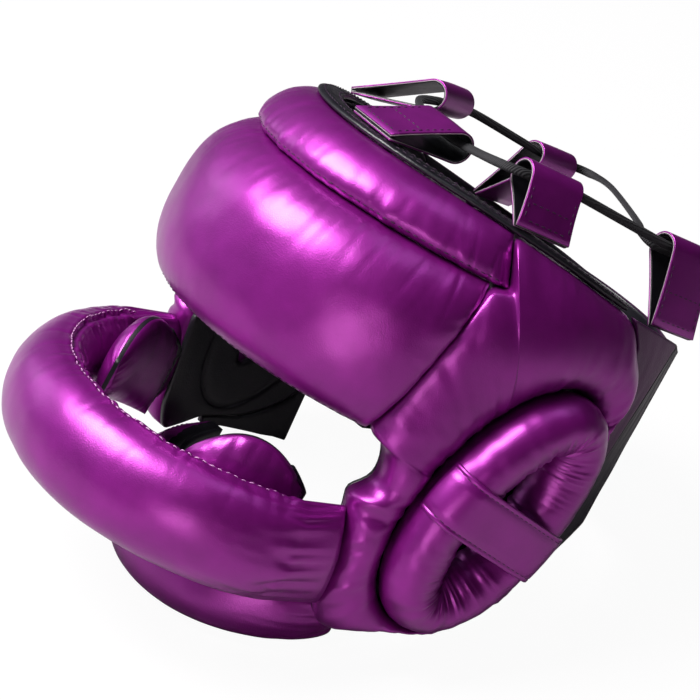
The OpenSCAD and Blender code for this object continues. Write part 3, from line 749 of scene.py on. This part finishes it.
def make_ears():
    rw, rl = EAR_HALF_W - ROLL_W / 2, EAR_HALF_LEN - ROLL_W / 2
    rings = []
    n, m = ROLL_RINGS, ROLL_SIDES
    for k in range(n):
        t = math.tau * k / n
        p, q = rw * math.sin(t), rl * math.cos(t)
        nx, nz = unit(math.sin(t) / rw, math.cos(t) / rl)
        ring = []
        for i in range(m):
            a = -math.tau * i / m
            inward = max(0.0, -math.cos(a))
            base = max(0.0, -math.sin(a))
            ends = abs(math.cos(t)) ** 3
            pucker = (gathers(k * ROLL_STEP, 0, 1, 5.2, 61.5)
                      * (0.75 * inward ** 1.5 + 0.4 * base))
            pucker += (gathers(k * ROLL_STEP, 0, 1, 2.6, 66.1)
                       * inward ** 0.8 * max(0.0, math.sin(a) + 0.55) * (0.25 + 0.75 * ends))
            soft = 0.35 * rough(k * 0.066 + 5, i * 0.1) + 0.3 * rough(k * 0.18, i * 0.2 + 9)
            r = 1 + (pucker + soft) / (ROLL_W / 2)
            w, e = ROLL_W / 2 * math.cos(a) * r, ROLL_HALF * math.sin(a) * r
            w -= ROLL_FULLER * inward ** 1.2
            ring.append(place(in_oval(p + w * nx, q + w * nz), ROLL_MID + e))
        rings.append(ring)
    for side, turn in SIDES:
        piece(f"ear_ring_{side}", *tube(turn(rings), closed=True), PURPLE,
              replaces=[f"ear_roll_{side}", f"ear_foam_{side}"], fill=0.9)


make_ears()

STRAP_OFF_W, STRAP_OFF_D, STRAP_SAG = 0.45, 0.4, 0.9


def strap_profile(grow):
    """The strap's path over the roll: (way from the ear's long axis, depth)."""
    rw = EAR_HALF_W - ROLL_W / 2
    a_w, a_d = ROLL_W / 2 + STRAP_OFF_W + grow, ROLL_HALF + STRAP_OFF_D + grow
    up = [math.radians(a) for a in range(12, 91, 6)]
    arc = [(-rw - a_w * math.cos(a), ROLL_MID + a_d * math.sin(a)) for a in up]
    span = [(x * rw, ROLL_MID + a_d - STRAP_SAG * (1 - x * x))
            for x in (-0.75, -0.5, -0.25, 0, 0.25, 0.5, 0.75)]
    return arc + span + [(-x, z) for x, z in reversed(arc)]


def make_ear_straps():
    def at(s, q, grow):
        h = q * EAR_STRAP_W / 20
        k = math.sqrt(1 - (h / (EAR_HALF_LEN - ROLL_W / 2)) ** 2)
        x, z = strap_profile(grow)[s]
        return place(in_oval(x * k, h), z)
    cols = range(len(strap_profile(0)))
    rows = [-15, -14.7, -13.4, -13, -12.6, -9, -3, 3, 6.6, 7, 7.4, 8.7, 9]

    def rim(q):
        return 0.35 if q in (-15, 9) else 0.45 if q in (-13, 7) else 0.0
    outer = sheet(lambda s, q: at(s, q, STRAP - rim(q)), rows, cols)
    inner = sheet(lambda s, q: at(s, q, rim(q)), rows, cols)
    both_sides("ear_strap_band", outer, inner, PURPLE, ("ear_strap",))
    lines = [[(at(s, q, STRAP), Vector(at(s, q, STRAP)) - Vector(at(s, q, 0))) for s in cols]
             for q in (-13, 7)]
    stitches("ear_strap_stitches", lines + mirrored(lines), radius=0.2, lift=-0.35)


make_ear_straps()

# Face bar
BAR_SEAM, BAR_STITCH = 100, 92          # on the section, in degrees from outside over the top
BAR_SIDES, BAR_RINGS, BAR_END_RINGS = 96, 221, 8


def bar_ring(t, m):
    """Ring of the face bar at t degrees from its middle."""
    a = math.radians(t)
    nx, ny = unit(BAR_REACH * math.sin(a), -BAR_SPAN * math.cos(a))
    c = (BAR_SPAN * math.sin(a), BAR_Y - BAR_REACH * math.cos(a),
         BAR_Z + BAR_RISE * (1 - math.cos(a)))
    hr = mix(BAR_T / 2, BAR_T / 2 - 3, (abs(t) / BAR_ARC) ** 6)
    ring = []
    for i in range(m):
        s = 360 * i / m
        off = abs((s - BAR_SEAM + 180) % 360 - 180) * 0.35
        along = t * 1.5
        grow = -1.3 * math.exp(-(off / 1.5) ** 2) + 1.1 * gathers(along, off, 8, 8, 71.3)
        grow += 0.8 * math.exp(-((off - 3) / 2.0) ** 2)
        grow += 2.0 * gathers(s * 0.35, (BAR_ARC - abs(t)) * 1.45, 11, 7, 80.1 + (t > 0))
        r = math.radians(s)
        x = (hr + grow) * math.cos(r)
        p = (c[0] + x * nx, c[1] + x * ny, c[2] + (BAR_H / 2 + grow) * math.sin(r))
        k = 0.9 * slack(p, 90.2)
        ring.append((p[0] + k * math.cos(r) * nx, p[1] + k * math.cos(r) * ny,
                     p[2] + k * math.sin(r)))
    return ring


def bar_end(side, m):
    """The ring where the bar seats on a side pad's front edge; side is 1 or -1."""
    table = [(z, y) for y, z in SIDE_FRONT]
    ring = []
    for i in range(m):
        a = math.tau * i / m
        z = BAR_END_Z + (BAR_H / 2 - 1) * math.sin(a)
        q = shell(bearing(lookup(z, table) - SEAM_GAP), z, 12.5 + 10.5 * math.cos(a))
        ring.append((side * q[0], q[1], q[2]))
    return ring


def between(a, b, t):
    return [mix2(p, q, t) for p, q in zip(a, b)]


def make_bar():
    m, reach = BAR_SIDES, BAR_ARC - 1
    ts = [-reach + 2 * reach * i / (BAR_RINGS - 1) for i in range(BAR_RINGS)]
    rings = [bar_ring(t, m) for t in ts]
    steps = [k / BAR_END_RINGS for k in range(1, BAR_END_RINGS + 1)]
    ends = [bar_end(-1, m), bar_end(1, m)]
    rings = ([between(rings[0], ends[0], t) for t in reversed(steps)] + rings
             + [between(rings[-1], ends[1], t) for t in steps])
    piece("face_bar_pad", *tube(rings), PURPLE, replaces=("face_bar_cover", "face_bar_foam"),
          fill=0.9)
    k = round(BAR_STITCH * m / 360)
    line = []
    for ring in rings[10:-10]:
        centre = tuple(sum(p[x] for p in ring) / m for x in range(3))
        line.append((ring[k], Vector(ring[k]) - Vector(centre)))
    stitches("face_bar_stitches", [line], radius=0.3, material=PALE)


make_bar()

# Cheek pads, inside the bar's ends
CHEEK_SPAN = BAR_SPAN - BAR_T / 2 - 6.8
CHEEK_REACH = BAR_REACH - BAR_T / 2 - 7.8
CHEEK_FROM, CHEEK_TO = 36, 85           # degrees from the bar's middle
CHEEK_LONG, CHEEK_TALL = 62, 40
CHEEK_LOW_Z, CHEEK_LOW_REAR_Z = 62, 50


def cheek_top(u):
    """Height of the pad's upper edge, one smooth hump."""
    return 80 + 6 * u + 17 * math.sin(math.pi * u ** 0.85) ** 0.9


def cheek_at(u, v, d):
    t = math.radians(mix(CHEEK_FROM, CHEEK_TO, u))
    z = mix(mix(CHEEK_LOW_Z, CHEEK_LOW_REAR_Z, u), cheek_top(u), v)
    return pushed(CHEEK_SPAN * math.sin(t), BAR_Y - CHEEK_REACH * math.cos(t), z,
                  CHEEK_REACH * math.sin(t), -CHEEK_SPAN * math.cos(t), d)


def make_cheeks():
    def face(sign):
        def at(u, v):
            full = swell(u, 2.6) * swell(v, 2.6)
            d = 1.0 + (CHEEK_T / 2 - 1.2) * full
            end, edge = min(u, 1 - u) * CHEEK_LONG, min(v, 1 - v) * CHEEK_TALL
            rim = min(end, edge)
            along = u * CHEEK_LONG if edge < end else v * CHEEK_TALL + 90
            d += 0.7 * gathers(along, rim, 7, 6, 95.5 + sign) * min(1, rim)
            p = cheek_at(u, v, sign * d)
            return cheek_at(u, v, sign * (d + full * 0.7 * slack(p, 99.4)))
        return at
    us, vs = eased(56), eased(40)
    for side, turn in SIDES:
        points, faces = slab(turn(sheet(face(1), vs, us)), turn(sheet(face(-1), vs, us)))
        piece(f"cheek_pad_{side}", points, faces, PURPLE, more=(BLACK,), fill=0.75,
              of_face=sides_of(points, faces, inner=0, rim=1),
              replaces=(f"cheek_cover_{side}", f"cheek_foam_{side}"))
    rim = [(1.0, mix(0.2, 1, k / 24)) for k in range(24)] + [
        (mix(1, 0.8, k / 12), 1.0) for k in range(13)]
    rings = []
    for k, (u, v) in enumerate(rim):
        p = Vector(cheek_at(u, v, 0))
        out = (p - Vector(cheek_at(mix(u, 0.5, 0.1), mix(v, 0.5, 0.1), 0))).normalized()
        thick = (Vector(cheek_at(u, v, 1)) - p).normalized()
        wide = 3.0 + 0.5 * rough(k * 0.5, 4) if 3 < k < len(rim) - 6 else 2.2
        rings.append([tuple(p - 1.2 * out + 2.3 * math.cos(w) * out + wide * math.sin(w) * thick)
                      for w in (math.tau * i / 14 for i in range(14))])
    for side, turn in SIDES:
        piece(f"cheek_edge_{side}", *tube(turn(rings)), BLACK)


make_cheeks()

# Chin cup
CHIN_LONG = 200


def chin_at(u, v, d):
    t = math.radians(mix(-CHIN_ARC, CHIN_ARC, u))
    up = 1 - math.cos(t)
    z = (CHIN_LOW + CHIN_RISE * up + v * CHIN_H * (1 - CHIN_TAPER * up)
         - (d - CHIN_EDGE) * math.tan(LEAN) * (1 - v))
    return pushed(CHIN_SPAN * math.sin(t), CHIN_Y - CHIN_REACH * math.cos(t), z,
                  CHIN_REACH * math.sin(t), -CHIN_SPAN * math.cos(t), d)


def chin_out(u, v):
    full = swell(u, 4) * swell(v, 2.4)
    d = CHIN_EDGE + (CHIN_CROWN + 4) * full
    end = min(u, 1 - u) * CHIN_LONG
    d += 0.6 * gathers(u * CHIN_LONG, (1 - v) * CHIN_H, 6, 7, 101.7)
    d += 1.2 * gathers(v * CHIN_H, end, 14, 6, 110.6)
    return chin_at(u, v, d + full * 0.9 * slack(chin_at(u, v, d), 120.8))


def make_chin():
    us, vs = eased(130), eased(44)
    points, faces = slab(sheet(chin_out, vs, us),
                         sheet(lambda u, v: chin_at(u, v, CHIN_IN + LINING), vs, us))
    piece("chin_pad", points, faces, PURPLE, more=(BLACK,), fill=0.8,
          of_face=sides_of(points, faces, rim=1), replaces=("chin_cover", "chin_foam"))
    lining_skin("chin", chin_at, CHIN_IN, 60, 16)
    ring = [i / 120 for i in range(3, 118)]
    stitches("chin_stitches", [line_on(chin_out, [(u, 0.93) for u in ring],
                                       lambda u, v: chin_at(u, v, CHIN_IN))])


make_chin()

# Back panels and closure flaps
FOLD_LOW, FOLD_HIGH = (54, 88), (74, 205)
FOLD_GAP, PANEL_GAP, TIP_GAP = 0.03, 0.35, 1.2  # degrees
TONGUE_TIP_LOW, TONGUE_TIP_HIGH = 118, 193
PANEL_ROWS = [(37.5, 86), (38, 98), (38, 120), (37, 150), (35, 173), (38.5, 180), (41, 190),
              (38, 200), crown_corner(25)]
OVER_LOW, OVER_HIGH = (bearing(80), 112), (bearing(80), 202)
TONGUE_LOW = [(0, 88), (1 / 24, 71), (2 / 24, 68), (3 / 24, 72), (7 / 24, 87), (0.5, 98),
              (0.65, 111), (0.8, 122), (1, 118)]
TONGUE_HIGH = [(0, 205), (0.3, 197), (1, 193)]


def fold_at(v):
    return (bearing(mix(FOLD_LOW[0], FOLD_HIGH[0], v)), mix(FOLD_LOW[1], FOLD_HIGH[1], v))


def panel_at(u, v, d):
    z0, z1 = PANEL_ROWS[0][1], PANEL_ROWS[-1][1]
    z = mix(z0, z1, v)
    y = lookup(z, [(r[1], r[0]) for r in PANEL_ROWS])
    a, b = (bearing(y) + PANEL_GAP, z), fold_at(v)
    q = mix2(a, (b[0] - FOLD_GAP, b[1]), u)
    return rear(q[0], q[1], d)


def over_at(u, v, d):
    a = fold_at(v)
    q = mix2((a[0] + FOLD_GAP, a[1]), mix2(OVER_LOW, OVER_HIGH, v), u)
    return rear(q[0], q[1], d)


def tongue_at(u, v, d):
    z = mix(TONGUE_TIP_LOW, TONGUE_TIP_HIGH, v)
    tip = 360 - TIP_GAP - bearing(mix(FOLD_LOW[0], FOLD_HIGH[0],
                                      (z - FOLD_LOW[1]) / (FOLD_HIGH[1] - FOLD_LOW[1])))
    return rear(mix(fold_at(v)[0] + FOLD_GAP, tip, u),
                mix(lookup(u, TONGUE_LOW), lookup(u, TONGUE_HIGH), v), d)


LEAF_RIM = 0.45         # how far a leaf's faces are drawn in at its edge


def leaf(name, at, d0, d1, cols, rows, material, body, nodes, right=False, wave=0.3):
    """A thin leather leaf with rounded edges and a slight unevenness."""
    def rim(u, v):
        return LEAF_RIM if u in (cols[0], cols[-1]) or v in (rows[0], rows[-1]) else 0.0

    def bend(u, v):
        return wave * rough(u * 6, v * 5, d0)
    outer = sheet(lambda u, v: at(u, v, d1 - rim(u, v) + bend(u, v)), rows, cols)
    inner = sheet(lambda u, v: at(u, v, d0 + rim(u, v) + bend(u, v)), rows, cols)
    if right:
        outer, inner = flipped(outer), flipped(inner)
    points, faces = slab(outer, inner)
    piece(name, points, faces, material, body, replaces=nodes, more=(BLACK,),
          of_face=sides_of(points, faces))


def edge_line(at, d, stop, start=0.0, right=False):
    """A stitch line along a leaf's free edges, between two shares of its length."""
    low, high = 0.05, 0.95
    track = ([(start + (stop - start) * k / 60, low) for k in range(61)]
             + [(stop, low + (high - low) * k / 30) for k in range(1, 31)]
             + [(stop - (stop - start) * k / 60, high) for k in range(1, 61)])
    line = line_on(lambda u, v: at(u, v, d), track, lambda u, v: at(u, v, d - 1))
    return mirrored([line])[0] if right else line


def make_back():
    us, vs = eased(24), eased(48)
    leaf("back_panel_skin_left", panel_at, OVER_D, OVER_D + FLAP, us, vs, PLAIN, "shell",
         ("back_panel_left",))
    leaf("back_panel_skin_right", panel_at, UNDER_D, UNDER_D + FLAP, us, vs, PLAIN, "shell",
         ("back_panel_right",), right=True)
    leaf("closure_leaf_left", over_at, OVER_D, OVER_D + FLAP, us, vs, BLACK, "left_flap",
         ("closure_flap_left",))
    part = [mix(0.125, 0.875, k / 12) for k in range(13)]
    tall = [mix(0.25, 1, k / 16) for k in range(17)]
    leaf("hook_patch_pile", over_at, HOOK_D, OVER_D - 0.02, part, tall, PILE_MAT, "left_flap",
         ("hook_patch",), wave=0)
    leaf("closure_leaf_right", tongue_at, UNDER_D, UNDER_D + FLAP, eased(120), eased(40), PLAIN,
         "right_flap", ("closure_flap_right",), right=True, wave=0.25)
    part = [mix(16 / 24, 0.996, k / 30) for k in range(31)]
    tall = [mix(0.01, 0.99, k / 20) for k in range(21)]
    leaf("loop_patch_pile", tongue_at, LOOP_D + 0.02, LOOP_D + PILE, part, tall, PILE_MAT,
         "right_flap", ("loop_patch",), right=True, wave=0)
    stitches("left_flap_stitches", [edge_line(over_at, OVER_D + FLAP, stop=0.9)], "left_flap",
             radius=0.18, lift=-0.05)
    line = edge_line(tongue_at, UNDER_D + FLAP, start=0.02, stop=0.64, right=True)
    stitches("right_flap_stitches", [line], "right_flap", radius=0.18, lift=-0.05)


make_back()

# Crown binding
PIPING_END, PIPING_STITCH = 99, 3.6     # degrees from the front, and mm from the middle


def make_piping():
    rings, lines = [], [[], []]
    for i in range(2 * PIPING_END + 1):
        a = -PIPING_END + i
        c = shell(a, crown_edge(a) + PIPING_R + 0.3, SEAM / 2)
        nx, ny = unit(*level_normal(math.radians(a)))
        pucker = 0.35 * gathers(i * 1.7, 2, 9, 6, 130.4)
        ring = []
        for k in range(24):
            w = math.tau * k / 24
            out = (PIPING_HALF_W + 0.6) * math.copysign(abs(math.cos(w)) ** 0.8, math.cos(w))
            ring.append((c[0] + out * nx, c[1] + out * ny,
                         c[2] + (PIPING_R + pucker + 0.2) * math.copysign(abs(math.sin(w)) ** 0.7,
                                                                      math.sin(w))))
        rings.append(ring)
        for line, out in zip(lines, (-PIPING_STITCH, PIPING_STITCH)):
            line.append(((c[0] + out * nx, c[1] + out * ny, c[2] + PIPING_R), (0, 0, 1)))
    piece("crown_binding", *tube(rings), BLACK, replaces=("crown_piping",))
    stitches("binding_stitches", [line[3:-3] for line in lines], radius=0.2)


make_piping()

# Lace loops
FRONT_BASE, MID_BASE = (12, -90, 230.5), (73, -34, 225.6)
REAR_BASE, REAR_RIGHT_BASE = (78.5, 60, 209), (-69, 66, 205.6)


def teardrop(length, radius, half):
    """Outline of a folded strap, from one end of its base round the eye to the other."""
    n = 28
    lean = math.asin((radius - half) / length)
    turn = [math.pi / 2 + lean - (math.pi + 2 * lean) * k / n for k in range(n + 1)]
    arc = [(length + radius * math.cos(a), radius * math.sin(a)) for a in turn]
    flank = [(arc[0][0] * k / 8, mix(half, arc[0][1], k / 8)) for k in range(8)]
    return flank + arc + [(x, -y) for x, y in reversed(flank)]


def lace_loop(where, base, heading, rise, length):
    """A leather strap folded over the lace, with raw edges and a black inner face."""
    name = "loop_" + where
    h, r = math.radians(heading), math.radians(rise)
    ahead = Vector((math.cos(h) * math.cos(r), math.sin(h) * math.cos(r), math.sin(r)))
    side = Vector((-math.sin(h), math.cos(h), 0))
    up = ahead.cross(side)
    out = teardrop(length, LOOP_R + STRAP, STRAP)
    inn = teardrop(length, LOOP_R, 0.1)
    mid = teardrop(length, LOOP_R + 0.55, 0.55)
    core = teardrop(length, LOOP_R + 0.85, 0.85)
    widths = [-1, -0.985, -0.6, -0.2, 0.2, 0.6, 0.985, 1]

    def at(p, w, pinch):
        x, y = p
        sag = 1 - 0.06 * math.sin(math.pi * min(1, x / (length + LOOP_R)))
        return tuple(Vector(base) + ahead * x + up * y * (1 - 0.05 * abs(w))
                     + side * (w * (LOOP_W / 2 - pinch) * sag))

    def layer(outline, pinch):
        return [[at(p, w, pinch) for w in widths] for p in outline]
    piece(name, *slab(layer(out, 0.1), layer(core, 0)), PURPLE, replaces=("lace_" + name,))
    piece(name + "_raw", *slab(layer(core, -0.12), layer(mid, -0.12)), RAW)
    piece(name + "_inside", *slab(layer(mid, 0), layer(inn, 0.15)), BLACK)
    rows_at = []
    for sign in (1, -1):
        line = []
        for k in range(30):
            x = 3 + k * (length - 7) / 29
            y = mix(STRAP, LOOP_R + STRAP, x / length)
            line.append((at((x, y), sign * 0.86, 0), up))
        rows_at.append(line)
    for x in (3.0, length * 0.45):
        y = mix(STRAP, LOOP_R + STRAP, x / length)
        rows_at.append([(at((x, y), w / 10, 0), up) for w in range(-8, 9)])
    stitches(name + "_stitches", rows_at, radius=0.24)


MID_RIGHT_BASE = (-MID_BASE[0], MID_BASE[1] + 2, MID_BASE[2] + 1.2)
lace_loop("front", FRONT_BASE, 90, 11, 36)
lace_loop("mid_left", MID_BASE, 173, 52, 22)
lace_loop("mid_right", MID_RIGHT_BASE, 23, 26, 41)
lace_loop("rear_left", REAR_BASE, 180, 60, 34.5)
lace_loop("rear_right", REAR_RIGHT_BASE, 10, 59, 36)

# Floor, backdrop and light
FLOOR_HALF = 4


def area_light(name, at, look, power, size, color=(1, 1, 1)):
    data = bpy.data.lights.new(name, "AREA")
    data.energy = power
    data.size = size
    data.color = color
    obj = placed(name, data)
    obj.location = at
    obj.rotation_euler = (Vector(look) - Vector(at)).to_track_quat("-Z", "Y").to_euler()


def make_stage():
    mesh = bpy.data.meshes.new("floor")
    mesh.from_pydata([(x * FLOOR_HALF, y * FLOOR_HALF, 0)
                      for x, y in ((-1, -1), (1, -1), (1, 1), (-1, 1))], [], [(0, 1, 2, 3)])
    floor = placed("floor", mesh)
    mat = bpy.data.materials.new("floor")
    mat.use_nodes = True
    tree = mat.node_tree
    shader = tree.nodes["Principled BSDF"]
    shader.inputs["Base Color"].default_value = (0.42, 0.40, 0.41, 1)
    shader.inputs["Roughness"].default_value = 0.9
    shader.inputs["Specular IOR Level"].default_value = 0.1
    glow = add_node(tree, "ShaderNodeEmission", Strength=1.06)
    seen = tree.nodes.new("ShaderNodeMixShader")
    path = tree.nodes.new("ShaderNodeLightPath")
    share = tree.nodes.new("ShaderNodeMath")
    share.operation = "MULTIPLY"
    share.inputs[1].default_value = 0.9
    link = tree.links.new
    link(path.outputs["Is Camera Ray"], share.inputs[0])
    link(share.outputs["Value"], seen.inputs["Fac"])
    link(shader.outputs["BSDF"], seen.inputs[1])
    link(glow.outputs["Emission"], seen.inputs[2])
    link(seen.outputs["Shader"], tree.nodes["Material Output"].inputs["Surface"])
    mesh.materials.append(mat)

    world = bpy.data.worlds.new("studio")
    bpy.context.scene.world = world
    world.use_nodes = True
    tree = world.node_tree
    tree.nodes.clear()
    out = tree.nodes.new("ShaderNodeOutputWorld")
    pick = tree.nodes.new("ShaderNodeMixShader")
    path = tree.nodes.new("ShaderNodeLightPath")
    light = add_node(tree, "ShaderNodeBackground", Strength=1.0)
    seen = add_node(tree, "ShaderNodeBackground", Color=(1, 1, 1, 1), Strength=1.0)
    # The room is bright on one side and above, and dark behind the object
    place_in = tree.nodes.new("ShaderNodeTexCoord")
    side = tree.nodes.new("ShaderNodeVectorMath")
    side.operation = "DOT_PRODUCT"
    side.inputs[1].default_value = (-0.62, -0.62, 0.48)
    ramp = tree.nodes.new("ShaderNodeValToRGB")
    ramp.color_ramp.elements[0].color = (0.022, 0.017, 0.019, 1)
    ramp.color_ramp.elements[1].color = (0.36, 0.36, 0.42, 1)
    middle = ramp.color_ramp.elements.new(0.45)
    middle.color = (0.07, 0.06, 0.085, 1)
    link = tree.links.new
    link(place_in.outputs["Generated"], side.inputs[0])
    link(side.outputs["Value"], ramp.inputs["Fac"])
    link(ramp.outputs["Color"], light.inputs["Color"])
    link(path.outputs["Is Camera Ray"], pick.inputs["Fac"])
    link(light.outputs["Background"], pick.inputs[1])
    link(seen.outputs["Background"], pick.inputs[2])
    link(pick.outputs["Shader"], out.inputs["Surface"])

    middle = (0, 0, 0.1)
    area_light("key", (-0.3, -0.8, 1.46), middle, 52, 0.8, (1.0, 0.97, 0.98))
    area_light("side", (-1.5, -0.9, 0.75), middle, 3.5, 0.8, (0.96, 0.97, 1.0))
    area_light("top", (0.2, 0.5, 1.6), middle, 2, 0.7, (0.85, 0.87, 1.0))
    area_light("low", (1.1, -1.1, 0.16), middle, 5, 0.6, (1.0, 0.86, 0.92))


make_stage()

scene_view = bpy.context.scene.view_settings
scene_view.view_transform = "Standard"
